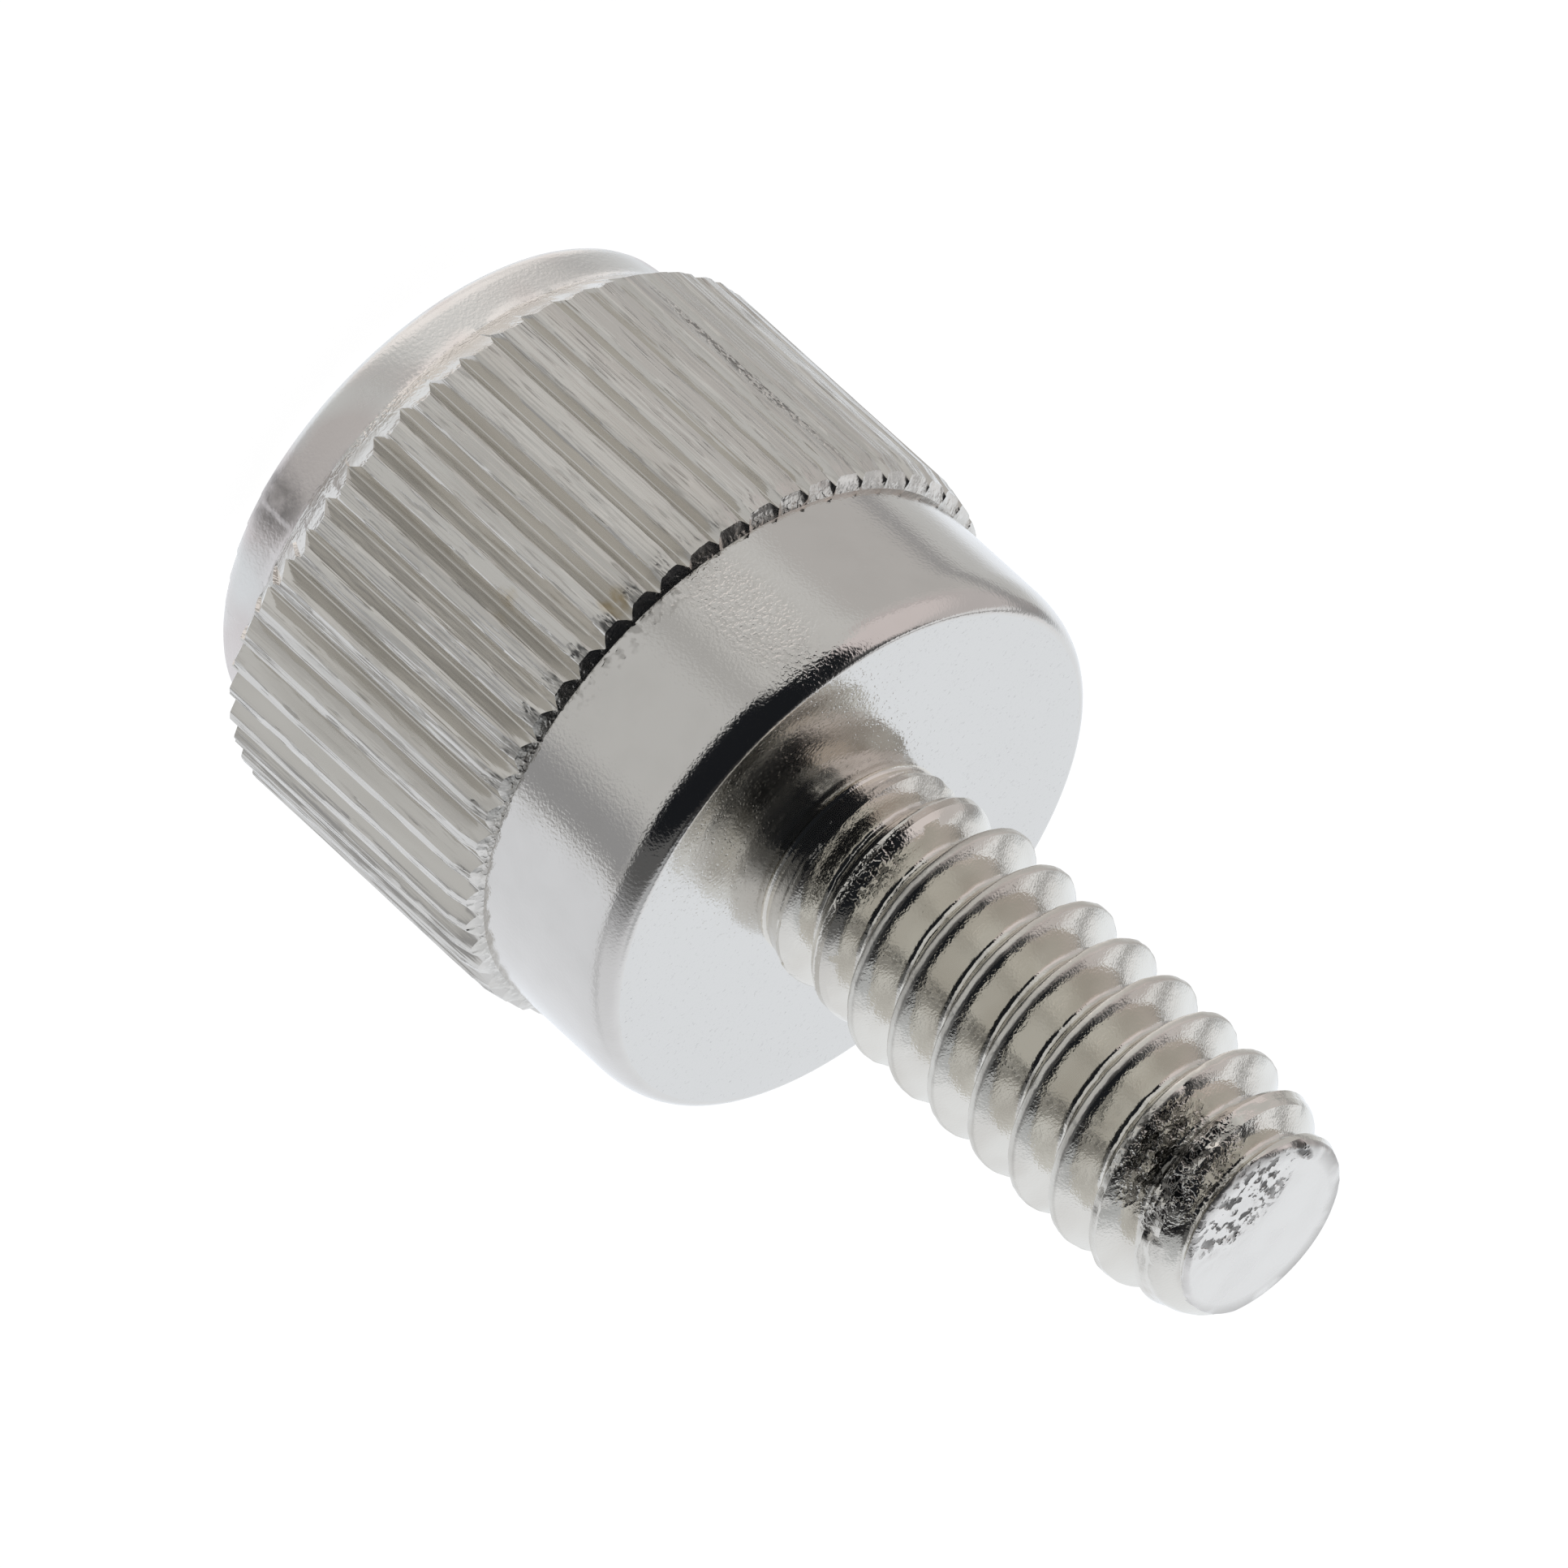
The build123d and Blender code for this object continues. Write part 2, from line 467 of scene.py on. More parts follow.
@dataclass
class Shank:
    """The neck and the rolled thread up to the sheared tip, in millimetres."""

    seat: float
    tip: float
    crest_radius: float
    pitch: float = 25.4 / 32
    depth: float = 0.505
    flank_angle: float = 30.0
    root_flat: float = 0.033
    root_round: float = 0.07
    crest_round_tip: float = 0.048
    crest_round_head: float = 0.052
    round_steps: int = 3
    flank_steps: int = 3
    groove_phase: float = 0.088  # from the seating face to the groove's middle over +X, one turn down
    groove_gone: float = 122.0  # degrees round from +X at which the groove leaves the blank
    groove_full: float = 200.0  # and at which it is fully cut
    run_out_blend: float = 0.07  # rounding where groove and blank meet at the run-out and low crests
    low_crest_height: float = 1.3  # up to which the low crests are fully rounded
    neck_radius: float = 1.46
    neck_round: float = 0.06
    bead: float = 0.012  # the faint ring round the neck
    bead_height: float = 0.15
    bead_reach: float = 0.035
    first_crest_radius: float = 1.63
    first_crest_height: float = 0.46
    full_crest_height: float = 1.65
    crest_growth: float = 0.32
    taper_start: float = 6.55
    taper_power: float = 1.6
    tip_radius: float = 1.39
    tip_round: float = 0.08
    tip_steps: int = 4  # rings round the tip's edge
    tip_rings: int = 13  # and from there to its middle
    steps: int = 160  # round one turn
    # The rolls' marks: how far from the middle of a crest and of a root they start and are full
    crest_marks: Span = (0.11, 0.03)
    root_marks: Span = (0.09, 0.03)
    scuff: Grain = Grain(0.010, 0.17, 0.9)
    sway: Grain = Grain(0.012, 0.20, 1.1)
    drift: Grain = Grain(0.010, 0.7, layer=9.0)
    # Chips near the tip: the heights over which they start and end, and how far to -Y
    chips_start: Span = (5.9, 6.9)
    chips_end: Span = (7.98, 7.8)
    chips_side: Span = (0.9, 1.3)
    chips: Grain = Grain(0.05, 0.22, 0.18)
    chips_mean: float = 0.005
    # The torn part of the tip's face: how far to -Y, and how far from its middle along X
    tear_side: Span = (0.1, 0.6)
    tear_middle: float = -0.1
    tear_reach: Span = (1.1, 0.7)
    tear_edge: Span = (1.02, 0.97)  # and how far in from the edge, as shares of the face
    tear: Grain = Grain(0.04, 0.16, layer=8.8)

    def profile(self) -> list[Point]:
        """One pitch of the thread, from the middle of a root to the middle of the next.

        Returns:
            Its points, as radius and height from the crest's middle.
        """
        lower = self.half_profile(self.crest_round_head)
        upper = self.half_profile(self.crest_round_tip)
        return [(radius, -height) for radius, height in lower[::-1]] + upper[1:]

    def half_profile(self, crest_round: float) -> list[Point]:
        """Half a pitch of the thread, from the middle of the crest to the middle of the root.

        Args:
            crest_round: The rounding between crest and flank.

        Returns:
            Its points, as radius and height from the crest's middle.
        """
        side = math.radians(UPRIGHT - self.flank_angle)
        slope = math.tan(math.radians(self.flank_angle))
        root = self.crest_radius - self.depth
        root_edge = (self.pitch - self.root_flat) / 2
        flank_top = self.crest_radius - crest_round * (1 - math.cos(side))
        flank_foot = root + self.root_round * (1 - math.cos(side))
        foot_height = root_edge - self.root_round * math.sin(side)
        top_height = foot_height - (flank_top - flank_foot) * slope
        crest_edge = top_height - crest_round * math.sin(side)
        turns = [side * i / self.round_steps for i in range(self.round_steps + 1)]
        half = [(self.crest_radius, 0.0)]
        half += [(self.crest_radius - crest_round * (1 - math.cos(a)), crest_edge + crest_round * math.sin(a))
                 for a in turns]
        half += run(half[-1], (flank_foot, foot_height), self.flank_steps)
        half += [(root + self.root_round * (1 - math.cos(a)), root_edge - self.root_round * math.sin(a))
                 for a in turns[-2::-1]]
        return half + [(root, self.pitch / 2)]

    def envelope(self, rise: float) -> float:
        """The blank's radius.

        Args:
            rise: Height above the seating face.

        Returns:
            The radius.
        """
        length = self.tip - self.seat
        neck = self.neck_radius + (self.first_crest_radius - self.neck_radius) * min(
            1.0, rise / self.first_crest_height)
        neck += self.bead * max(0.0, 1 - abs(rise - self.bead_height) / self.bead_reach)
        grown = (self.crest_radius - self.first_crest_radius) * smooth_step(
            rise, self.full_crest_height - self.crest_growth, self.full_crest_height)
        taper = max(0.0, (rise - self.taper_start) / (length - self.taper_start)) ** self.taper_power
        return neck + grown - (self.crest_radius - self.tip_radius) * taper

    def rolled_point(self, co: Vector) -> Place:
        """Where a point of the endless thread lies on this blank.

        Args:
            co: The point.

        Returns:
            Its place, with the groove's run-out, the low crests, the taper and the rolls' marks.
        """
        x, y, z = co
        radius, angle, rise = math.hypot(x, y), math.atan2(y, x), z - self.seat
        turns = (rise - self.groove_phase) / self.pitch - angle / FULL_TURN
        groove = round(turns)
        cut = smooth_step(math.degrees(angle) + CIRCLE * groove, self.groove_gone, self.groove_full)
        # The groove, joined to the blank by a smooth minimum where it runs out and the crests are low
        blank = self.envelope(rise)
        radius += (1 - cut) * self.depth
        low = smooth_step(rise, self.full_crest_height, self.low_crest_height)
        blend = self.run_out_blend * max(1 - cut, low) + SLACK
        near = max(0.0, 1 - abs(blank - radius) / blend)
        radius = min(blank, radius) - near * near * blend / 4
        # The rolls' marks on crests and roots
        offset = abs(turns - groove) * self.pitch
        near_crest = smooth_step(offset, *(self.pitch / 2 - reach for reach in self.crest_marks))
        marks = cut * max(near_crest, smooth_step(offset, *self.root_marks))
        radius -= marks * (self.scuff.depth + self.scuff.at(x, y, z))
        z += marks * (self.sway.at(x, y, z) + self.drift.at(x, y, z))
        # The chips
        chipped = (smooth_step(rise, *self.chips_start) * smooth_step(rise, *self.chips_end)
                   * smooth_step(-y, *self.chips_side))
        radius -= chipped * max(0.0, self.chips.at(x, y, z) + self.chips_mean)
        return radius * math.cos(angle), radius * math.sin(angle), z

    def build(self) -> bmesh.types.BMesh:
        """The shank, open at the neck and closed at the tip.

        Returns:
            The mesh.
        """
        bm = bmesh.new()
        turns = math.ceil((self.tip - self.seat) / self.pitch) + SPARE_TURNS
        # A crest's middle is half a pitch above a groove's
        first_crest = self.seat + self.groove_phase - (SPARE_TURNS - 0.5) * self.pitch
        outline = [(radius, first_crest + height) for radius, height in self.profile()]
        lathe(bm, chain(bm, outline), FULL_TURN, self.steps, rise=self.pitch / self.steps)
        one_turn = [*bm.verts, *bm.edges, *bm.faces]
        for turn in range(1, turns):
            copy = bmesh.ops.duplicate(bm, geom=one_turn)["geom"]
            bmesh.ops.translate(bm, vec=(0, 0, turn * self.pitch),
                                verts=[g for g in copy if isinstance(g, bmesh.types.BMVert)])
        bmesh.ops.remove_doubles(bm, verts=bm.verts, dist=TURN_SLACK)
        self.cut(bm, self.seat + self.neck_round, -1)
        self.cut(bm, self.tip - self.tip_round, 1)
        for ring in (self.bead_height - self.bead_reach, self.bead_height,
                     self.bead_height + self.bead_reach, self.first_crest_height):
            self.cut(bm, self.seat + ring, 0)
        for vert in bm.verts:
            level = vert.co.z
            place = Vector(self.rolled_point(vert.co))
            if vert.is_boundary:
                place.z = level
            vert.co = place
        self.cap(bm)
        return bm

    def cut(self, bm: bmesh.types.BMesh, height: float, side: int) -> None:
        """Cuts the shank square to its axis.

        Args:
            bm: The shank.
            height: Where.
            side: 1 to take away what is above, -1 what is below, and 0 to leave both and a ring of edges.
        """
        bmesh.ops.bisect_plane(bm, geom=[*bm.verts, *bm.edges, *bm.faces], dist=CUT_SLACK,
                               plane_co=(0, 0, height), plane_no=(0, 0, side or 1),
                               clear_outer=side != 0)

    def cap(self, bm: bmesh.types.BMesh) -> None:
        """Closes the tip with a rounded edge and rings that run in to the middle.

        Args:
            bm: The shank, cut at the foot of the tip's rounding.
        """
        level = self.tip - self.tip_round
        ring = [e for e in bm.edges
                if e.is_boundary and all(abs(v.co.z - level) < TURN_SLACK for v in e.verts)]
        turns = [math.pi / 2 * i / self.tip_steps for i in range(1, self.tip_steps + 1)]
        steps = [(1 - self.tip_round * (1 - math.cos(a)) / self.tip_radius, self.tip_round * math.sin(a))
                 for a in turns]
        flat = steps[-1][0]
        steps += [(flat * (1 - i / self.tip_rings), self.tip_round) for i in range(1, self.tip_rings + 1)]
        outline = {v: v.co.copy() for e in ring for v in e.verts}
        for scale, lift in steps:
            grown = bmesh.ops.extrude_edge_only(bm, edges=ring)["geom"]
            ring = [g for g in grown if isinstance(g, bmesh.types.BMEdge) and g.is_boundary]
            new_outline = {}
            for vert in {v for e in ring for v in e.verts}:
                source = next(e.other_vert(vert) for e in vert.link_edges if e.other_vert(vert) in outline)
                start = outline[source]
                x, y = start.x * scale, start.y * scale
                torn = (smooth_step(-y, *self.tear_side) * smooth_step(scale, *self.tear_edge)
                        * smooth_step(abs(x - self.tear_middle), *self.tear_reach))
                vert.co = (x, y, level + lift - torn * (self.tear.depth + self.tear.at(x, y)))
                new_outline[vert] = start
            outline = new_outline
        bmesh.ops.pointmerge(bm, verts=list(outline), merge_co=(0, 0, self.tip))


@dataclass
class ThumbScrew:
    """The whole screw as one closed mesh."""

    head: Head
    shank: Shank
    sharp_angle: float = 32.0  # degrees between two faces from which their edge shows as sharp
    sheared_share: float = 1.2  # the sheared finish reaches this many of the tip's roundings down

    def build(self) -> bpy.types.Object:
        """Joins head and shank and finishes the mesh.

        Returns:
            The piece.
        """
        bm = self.head.build()
        shank = self.shank.build()
        spare = bpy.data.meshes.new("shank_spare")
        shank.to_mesh(spare)
        bm.from_mesh(spare)
        bpy.data.meshes.remove(spare)
        shank.free()
        bmesh.ops.bridge_loops(bm, edges=[e for e in bm.edges if e.is_boundary])
        bmesh.ops.remove_doubles(bm, verts=bm.verts, dist=SLACK)
        bmesh.ops.recalc_face_normals(bm, faces=bm.faces)
        for face in bm.faces:
            face.smooth = True
            face.material_index = self.finish_of(face).value
        bmesh.ops.transform(bm, matrix=Matrix.Scale(MM, 4), verts=bm.verts)
        mesh = bpy.data.meshes.new(PIECE)
        bm.to_mesh(mesh)
        open_edges = sum(1 for e in bm.edges if not e.is_manifold)
        triangles = sum(len(f.verts) - 2 for f in bm.faces)
        LOG.info("%d triangles, %d edges not closed", triangles, open_edges)
        bm.free()
        mesh.set_sharp_from_angle(angle=math.radians(self.sharp_angle))
        return add_object(PIECE, mesh)

    def finish_of(self, face: bmesh.types.BMFace) -> Finish:
        """Which finish a face carries.

        Args:
            face: A face of the screw, in millimetres.

        Returns:
            Its finish.
        """
        height = face.calc_center_median().z
        if height > self.shank.tip - self.shank.tip_round * self.sheared_share:
            return Finish.SHEARED
        if height > self.shank.seat + SLACK:
            return Finish.ROLLED
        if height > self.shank.seat - SLACK:
            return Finish.FACED
        if height < self.head.rim_height:
            return Finish.TUMBLED
        return Finish.KNURLED if height < self.head.knurl_top else Finish.TURNED


def linear(hex_colour: str) -> tuple[float, float, float, float]:
    """A colour as the shaders take it, by the sRGB standard's own curve.

    Args:
        hex_colour: The sRGB colour, such as "DAD8D0".

    Returns:
        The linear colour, with alpha.
    """
    parts = [int(hex_colour[i:i + 2], 16) / 255 for i in (0, 2, 4)]
    values = [p / 12.92 if p <= 0.04045 else ((p + 0.055) / 1.055) ** 2.4 for p in parts]
    return (*values, 1.0)


def add_node(tree: bpy.types.NodeTree, kind: str, inputs: dict[str | int, object] | None = None,
             **settings: object) -> bpy.types.Node:
    """Adds a node with its settings, values and links.

    Args:
        tree: The tree that it goes into.
        kind: The node's type.
        inputs: Values, sockets or nodes for its inputs, by name or number.
        settings: Its own settings.

    Returns:
        The node.
    """
    node = tree.nodes.new(kind)
    for name, value in settings.items():
        setattr(node, name, value)
    for socket, value in (inputs or {}).items():
        if isinstance(value, bpy.types.Node):
            value = next(output for output in value.outputs if output.enabled)
        if isinstance(value, bpy.types.NodeSocket):
            tree.links.new(value, node.inputs[socket])
        else:
            node.inputs[socket].default_value = value
    return node


def empty_tree(owner: bpy.types.Material | bpy.types.World) -> bpy.types.NodeTree:
    """Turns nodes on and takes the first ones away.

    Args:
        owner: A new material or world.

    Returns:
        Its tree, without a node.
    """
    owner.use_nodes = True
    owner.node_tree.nodes.clear()
    return owner.node_tree


def add_object(name: str, data: bpy.types.Mesh | bpy.types.Camera) -> bpy.types.Object:
    """Puts an object into the scene.

    Args:
        name: Its name.
        data: Its mesh or camera.

    Returns:
        The object, at the origin.
    """
    made = bpy.data.objects.new(name, data)
    bpy.context.scene.collection.objects.link(made)
    return made


@dataclass(frozen=True)
class Marks:
    """One layer of marks in the plating, which dull, tint and roughen it where they are."""

    size: float  # millimetres from one mark to the next
    drawn_out: Place = (1.0, 1.0, 1.0)  # how many times longer a mark is along each axis
    turned: Place = (0.0, 0.0, 0.0)  # how its length is turned from those axes, in degrees
    sparse: float = 0.35  # noise below this leaves the plating as it is
    dense: float = 0.65  # and above this is all mark
    relief: float = 0.0  # millimetres that a mark stands up, or sinks if negative
    dull: float = 0.0  # added to the roughness
    tint: float = 0.0  # how much of its colour shows
    colour: str = "4A4742"
    from_radius: Span | None = None  # only from this far out, in millimetres
    round_place: tuple[Place, float] | None = None  # only this far round a place, in millimetres
    squash: Place = (1.0, 1.0, 1.0)  # how far along each axis, as shares of that
    detail: float = 1.0  # finer grains within the marks

    def mask(self, tree: bpy.types.NodeTree, place: bpy.types.Node) -> bpy.types.Node:
        """Where the marks are.

        Args:
            tree: The material's tree.
            place: The piece's own coordinates, in millimetres.

        Returns:
            The node that gives 0 to 1.
        """
        scale = tuple(1 / (self.size * longer) for longer in self.drawn_out)
        turned = tuple(math.radians(angle) for angle in self.turned)
        grains = add_node(tree, "ShaderNodeMapping", {"Vector": place, "Scale": scale, "Rotation": turned})
        cloud = add_node(tree, "ShaderNodeTexNoise", {"Vector": grains, "Scale": 1.0, "Detail": self.detail})
        mask = add_node(tree, "ShaderNodeMapRange", {"Value": cloud, "From Min": self.sparse,
                                                     "From Max": self.dense})
        if self.from_radius:
            flat = add_node(tree, "ShaderNodeVectorMath", {0: place, 1: FLAT}, operation="MULTIPLY")
            radius = add_node(tree, "ShaderNodeVectorMath", {0: flat}, operation="LENGTH")
            outside = add_node(tree, "ShaderNodeMapRange", {"Value": radius, "From Min": self.from_radius[0],
                                                            "From Max": self.from_radius[1]})
            mask = add_node(tree, "ShaderNodeMath", {0: mask, 1: outside}, operation="MULTIPLY")
        if self.round_place:
            centre, reach = self.round_place
            away = add_node(tree, "ShaderNodeVectorMath", {0: place, 1: centre}, operation="SUBTRACT")
            shares = tuple(1 / (reach * share) for share in self.squash)
            shaped = add_node(tree, "ShaderNodeVectorMath", {0: away, 1: shares}, operation="MULTIPLY")
            distance = add_node(tree, "ShaderNodeVectorMath", {0: shaped}, operation="LENGTH")
            inside = add_node(tree, "ShaderNodeMapRange", {"Value": distance, "From Min": 1.0,
                                                           "From Max": PATCH_EDGE})
            mask = add_node(tree, "ShaderNodeMath", {0: mask, 1: inside}, operation="MULTIPLY")
        return mask


@dataclass(frozen=True)
class NickelPlate:
    """Bright nickel plating on steel: a slightly warm mirror, marked by how the steel was worked."""

    name: str
    colour: str
    roughness: float
    marks: tuple[Marks, ...]

    def build(self) -> bpy.types.Material:
        """The material.

        Returns:
            It, ready to go into a slot.
        """
        material = bpy.data.materials.new(self.name)
        tree = empty_tree(material)
        own = add_node(tree, "ShaderNodeTexCoord")
        place = add_node(tree, "ShaderNodeMapping", {"Vector": own.outputs["Object"], "Scale": (1 / MM,) * 3})
        relief, rough, colour = 0.0, self.roughness, linear(self.colour)
        for layer in self.marks:
            mask = layer.mask(tree, place)
            if layer.relief:
                relief = add_node(tree, "ShaderNodeMath", {0: mask, 1: layer.relief, 2: relief},
                                  operation="MULTIPLY_ADD")
            if layer.dull:
                rough = add_node(tree, "ShaderNodeMath", {0: mask, 1: layer.dull, 2: rough},
                                 operation="MULTIPLY_ADD")
            if layer.tint:
                share = add_node(tree, "ShaderNodeMath", {0: mask, 1: layer.tint}, operation="MULTIPLY")
                colour = add_node(tree, "ShaderNodeMix", {
                    0: share, MIX_BELOW: colour, MIX_ABOVE: linear(layer.colour)}, data_type="RGBA")
        bump = add_node(tree, "ShaderNodeBump", {"Height": relief, "Distance": MM, "Strength": 1.0})
        surface = add_node(tree, "ShaderNodeBsdfPrincipled", {
            "Base Color": colour, "Metallic": 1.0, "Roughness": rough, "Normal": bump})
        add_node(tree, "ShaderNodeOutputMaterial", {"Surface": surface})
        return material


ROUND = (6.0, 6.0, 1.0)  # marks that run round the axis
ALONG = (1.0, 1.0, 40.0)  # marks that run along it

PLATES = {
    # Turned steel under nickel: nearly a mirror, a little cloudy, with fine grain, one worn strip, and
    # painted shade at the collar's foot by the teeth
    Finish.TURNED: NickelPlate("nickel_on_turned_steel", "DAD7D2", 0.075, (
        Marks(0.55, dull=0.05, tint=0.10, colour="B5B1AA", sparse=0.4, dense=0.7, detail=3),
        Marks(0.045, relief=0.0009),
        Marks(0.05, relief=-0.003, dull=0.12, tint=0.14, colour="8A8780", sparse=0.42, dense=0.60,
              round_place=((-1.45, -3.91, 6.9), 0.62), squash=(1, 1, 3)),
        # Raised bumps, darkened with painted shade: a band round the collar's foot where the teeth end
        Marks(0.12, relief=0.004, dull=0.15, tint=0.35, colour="6E6A62", sparse=0.50, dense=0.66,
              round_place=((-0.2, -4.15, 5.95), 1.6), squash=(1, 0.4, 0.14)),
        Marks(0.12, tint=0.30, colour="B3A57C", round_place=((-2.93, -3.31, 6.05), 0.22)),
    )),
    # A faced surface under nickel: bright and softly blurred, with a fine all-over grain
    Finish.FACED: NickelPlate("nickel_on_faced_steel", "DAD8D4", 0.10, (
        Marks(0.7, dull=0.07, sparse=0.4, dense=0.7),
        Marks(0.06, relief=0.0008),
        Marks(0.05, relief=-0.002, tint=0.08, sparse=0.62, dense=0.75),
    )),
    # Tumbled rim under nickel: satin, so that reflections run together, with faint pinkish clouds and painted
    # shade in the crease at its top
    Finish.TUMBLED: NickelPlate("nickel_on_tumbled_steel", "E4E3DF", 0.24, (
        Marks(1.4, tint=0.45, colour="CFBFBA", sparse=0.45, dense=0.60),
        Marks(0.5, dull=0.10, drawn_out=(3, 3, 1)),
        Marks(0.05, relief=0.0016),
        Marks(0.22, tint=0.50, colour="5C5A57", sparse=0.25, dense=0.60, detail=3,
              round_place=((1.62, -3.66, 0.30), 0.55), squash=(1, 1, 1.2)),
        # Partly a sunk line by bump, partly painted shade: a dark line in the crease where the rim meets the
        # lead-in
        Marks(0.06, relief=-0.020, dull=0.20, tint=0.55, colour="3E3C39", sparse=0.50, dense=0.60,
              round_place=((0, 0, 0.87), 4.3), squash=(1, 1, 0.014)),
    )),
    # Knurled steel under nickel: clean flanks, torn crests drawn out along the teeth, and painted shade where
    # they end at the collar
    Finish.KNURLED: NickelPlate("nickel_on_knurled_steel", "DCD9D3", 0.12, (
        Marks(0.06, relief=0.0012, drawn_out=(1, 1, 6)),
        Marks(0.055, relief=0.007, dull=0.16, drawn_out=ALONG, turned=(0, 1.5, 0), sparse=0.35,
              dense=0.70, from_radius=(4.36, 4.42)),
        Marks(0.05, relief=-0.006, tint=0.22, dull=0.15, sparse=0.60, dense=0.70, drawn_out=(1, 1, 14),
              turned=(0, -6, 0), from_radius=(4.37, 4.42)),
        Marks(0.9, dull=0.12, tint=0.16, colour="A7A194", sparse=0.42, dense=0.62, drawn_out=(0.6, 0.6, 4),
              detail=2),
        Marks(0.07, relief=0.020, dull=0.15, tint=0.30, colour="55524D", sparse=0.42, dense=0.62,
              round_place=((0, 0, 0.98), 4.7), squash=(1, 1, 0.045)),
        # Partly a sunk ring by bump, partly painted shade: near black where the teeth end at the collar
        Marks(0.08, relief=-0.018, tint=0.80, colour="2A2826", sparse=0.40, dense=0.54,
              round_place=((0, 0, 5.84), 4.7), squash=(1, 1, 0.045)),
        Marks(0.15, tint=0.55, colour="B9A67A", round_place=((-0.40, -4.39, 5.50), 0.24), sparse=0.3),
        Marks(0.15, tint=0.45, colour="B9A67A", round_place=((0.52, -4.39, 4.32), 0.20), sparse=0.3),
        Marks(0.04, relief=-0.020, tint=0.60, dull=0.2, colour="45423D", sparse=0.44, dense=0.58,
              drawn_out=(1, 1, 2.5), round_place=((-3.75, -2.35, 3.6), 0.17), squash=(1, 1, 12)),
    )),
    # Rolled thread under nickel: burnished flanks, scuffed crests, and marks that run with the rolls
    Finish.ROLLED: NickelPlate("nickel_on_rolled_steel", "E3E0D8", 0.045, (
        Marks(0.06, relief=0.0010, drawn_out=ROUND),
        Marks(0.035, relief=0.0011),
        Marks(0.05, dull=0.34, sparse=0.10, dense=0.35, from_radius=(1.700, 1.728)),
        Marks(0.45, dull=0.05, tint=0.14, colour="A89C8E", sparse=0.42, dense=0.62, drawn_out=(2, 2, 1)),
        Marks(0.06, relief=-0.002, dull=0.06, tint=0.32, colour="3A3833", sparse=0.46, dense=0.60,
              round_place=((0.56, -1.38, 12.3), 0.12), squash=(1, 5, 34)),
        Marks(0.08, relief=-0.008, dull=0.15, tint=0.60, colour="3A3833", sparse=0.46, dense=0.58,
              round_place=((-0.05, -1.50, 9.40), 0.66), squash=(1, 1, 0.38)),
        Marks(0.07, relief=-0.014, dull=0.20, tint=0.6, colour="3A3632", sparse=0.50, dense=0.60,
              round_place=((0.1, -1.45, 15.45), 1.0), squash=(1, 1, 0.85)),
        Marks(0.22, relief=-0.020, tint=0.75, colour="23211F", sparse=0.48, dense=0.56, detail=3,
              round_place=((0.1, -1.45, 15.40), 1.1), squash=(1, 1, 0.75)),
    )),
    # Sheared tip under nickel: smooth where the bar was cut, pitted where it tore
    Finish.SHEARED: NickelPlate("nickel_on_sheared_steel", "E4E1DC", 0.20, (
        Marks(0.6, dull=0.10),
        Marks(0.12, relief=-0.030, dull=0.25, tint=0.80, colour="302E2B", sparse=0.52, dense=0.60, detail=2,
              round_place=((-0.15, -0.82, 16.28), 1.02), squash=(1, 0.60, 1)),
        Marks(0.05, relief=0.0015),
        Marks(0.3, tint=0.55, dull=0.15, colour="A9A5A0", sparse=0.30, dense=0.5, from_radius=(1.15, 1.36)),
        Marks(0.10, relief=-0.030, tint=0.80, colour="2A2824", sparse=0.35, dense=0.50,
              round_place=((-1.16, -0.62, 16.25), 0.20), squash=(0.5, 1.6, 1)),
    )),
}


@dataclass(frozen=True)
class Panel:
    """A part of the studio round the screw, by direction, in degrees.

    Azimuth 0 is the camera's side and 90 is over +X. Each upright edge may lean, by so many degrees
    of azimuth for each degree of height.
    """

    name: str
    left: float
    right: float
    low: float
    high: float
    light: Light
    left_edge: float = 6.0  # half of the width over which this edge fades
    right_edge: float = 6.0
    level_edge: float = 5.0
    left_lean: float = 0.0
    right_lean: float = 0.0

    def cover(self, tree: bpy.types.NodeTree, azimuth: bpy.types.Node, level: bpy.types.Node,
              below: bpy.types.Node | tuple[float, ...]) -> bpy.types.Node:
        """Lays the panel over what is behind it.

        Args:
            tree: The world's tree.
            azimuth: The direction's azimuth.
            level: The direction's height.
            below: The light behind the panel.

        Returns:
            The node that gives the light with the panel in place.
        """
        middle = (self.left + self.right) / 2
        half = (self.right - self.left) / 2
        offset = add_node(tree, "ShaderNodeMath", {0: azimuth, 1: middle}, operation="SUBTRACT")
        turn = add_node(tree, "ShaderNodeMath", {0: offset, 1: CIRCLE / 2, 2: -CIRCLE / 2}, operation="WRAP")
        left = add_node(tree, "ShaderNodeMath", {0: level, 1: -self.left_lean, 2: turn},
                        operation="MULTIPLY_ADD")
        right = add_node(tree, "ShaderNodeMath", {0: level, 1: -self.right_lean, 2: turn},
                         operation="MULTIPLY_ADD")
        edges = []
        if self.right - self.left < CIRCLE:
            edges.append((left, -half - self.left_edge, -half + self.left_edge))
            edges.append((right, half + self.right_edge, half - self.right_edge))
        if self.low > -UPRIGHT:
            edges.append((level, self.low - self.level_edge, self.low + self.level_edge))
        if self.high < UPRIGHT:
            edges.append((level, self.high + self.level_edge, self.high - self.level_edge))
        mask = 1.0
        for value, outside, inside in edges:
            step = add_node(tree, "ShaderNodeMapRange", {"Value": value, "From Min": outside,
                                                         "From Max": inside},
                            interpolation_type="SMOOTHSTEP")
            mask = add_node(tree, "ShaderNodeMath", {0: mask, 1: step}, operation="MULTIPLY")
        return add_node(tree, "ShaderNodeMix", {0: mask, MIX_BELOW: below, MIX_ABOVE: (*self.light, 1.0)},
                        data_type="RGBA", label=self.name)


